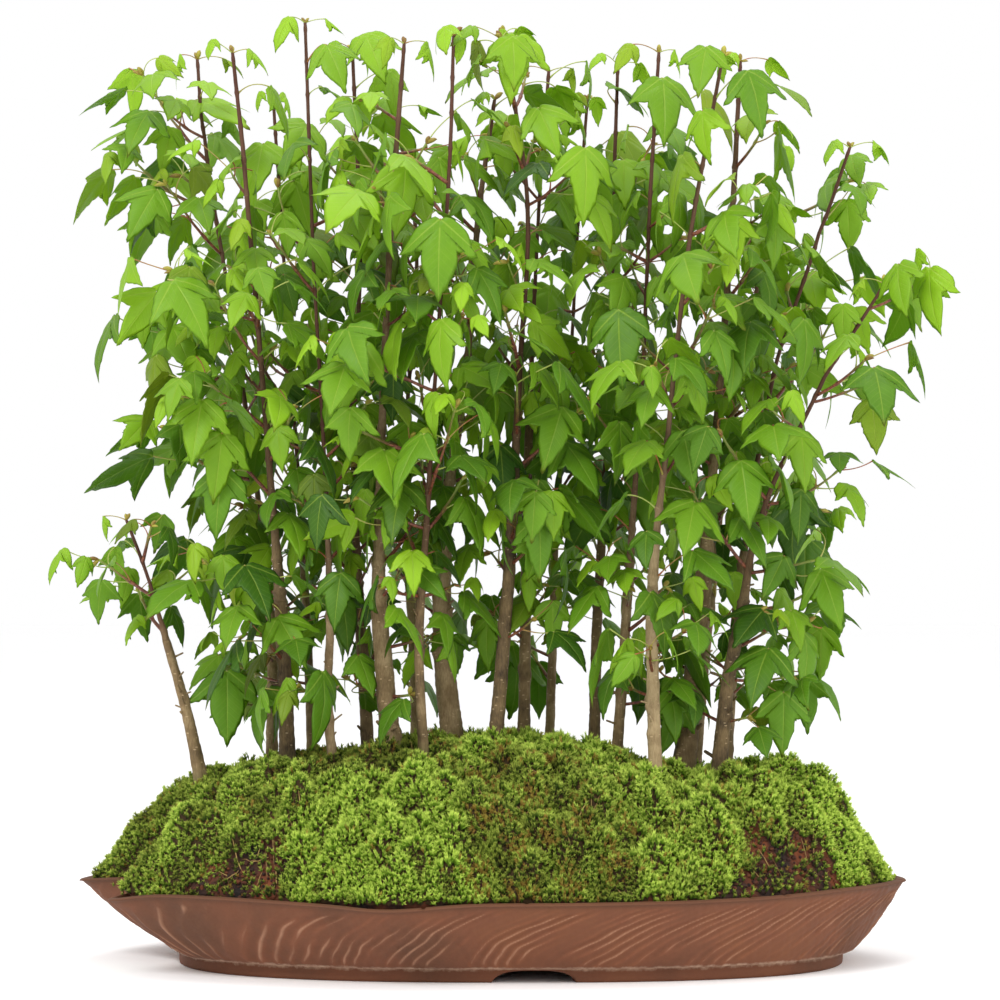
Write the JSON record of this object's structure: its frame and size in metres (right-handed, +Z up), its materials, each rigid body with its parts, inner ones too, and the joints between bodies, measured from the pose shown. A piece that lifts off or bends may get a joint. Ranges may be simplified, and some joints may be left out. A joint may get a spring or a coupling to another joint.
{
  "type": "bonsai forest planting",
  "caption": "Group of slender young three-lobed maples rooted in a moss-covered soil mound in a shallow free-form unglazed clay tray",
  "frame": {"origin": "on the ground under the middle of the planting's bounding box", "axes": "+Z up the trees, +X along the tray's length towards its single pointed corner, +Y to the back; the front faces -Y"},
  "size_m": [0.5598, 0.3154, 0.5713],
  "materials": {
    "clay": "matte unglazed",
    "soil": "matte crumbly",
    "moss_bright": "matte fibrous",
    "moss_deep": "matte fibrous",
    "bark": "matte rough",
    "leaf": "satin",
    "screen_plastic": "matte"
  },
  "bodies": {
    "root": {"crown_01": "leaf", "crown_02": "leaf", "crown_03": "leaf", "crown_04": "leaf", "crown_05": "leaf", "crown_06": "leaf", "crown_07": "leaf", "crown_08": "leaf", "crown_09": "leaf", "crown_10": "leaf", "crown_11": "leaf", "crown_12": "leaf", "crown_13": "leaf", "crown_14": "leaf", "crown_15": "leaf", "crown_16": "leaf", "crown_17": "leaf", "crown_18": "leaf", "crown_19": "leaf", "crown_20": "leaf", "drain_screen_left": "screen_plastic", "drain_screen_right": "screen_plastic", "moss_back_middle": "moss_deep", "moss_back_right": "moss_deep", "moss_crest": "moss_bright", "moss_front_clump": "moss_bright", "moss_front_middle": "moss_deep", "moss_front_right": "moss_bright", "moss_left_back": "moss_deep", "moss_left_end": "moss_deep", "moss_left_front": "moss_bright", "moss_left_middle": "moss_deep", "moss_right_hump": "moss_bright", "soil_mound": "soil", "tray": "clay", "trunk_01": "bark", "trunk_02": "bark", "trunk_03": "bark", "trunk_04": "bark", "trunk_05": "bark", "trunk_06": "bark", "trunk_07": "bark", "trunk_08": "bark", "trunk_09": "bark", "trunk_10": "bark", "trunk_11": "bark", "trunk_12": "bark", "trunk_13": "bark", "trunk_14": "bark", "trunk_15": "bark", "trunk_16": "bark", "trunk_17": "bark", "trunk_18": "bark", "trunk_19": "bark", "trunk_20": "bark"}
  },
  "joints": []
}
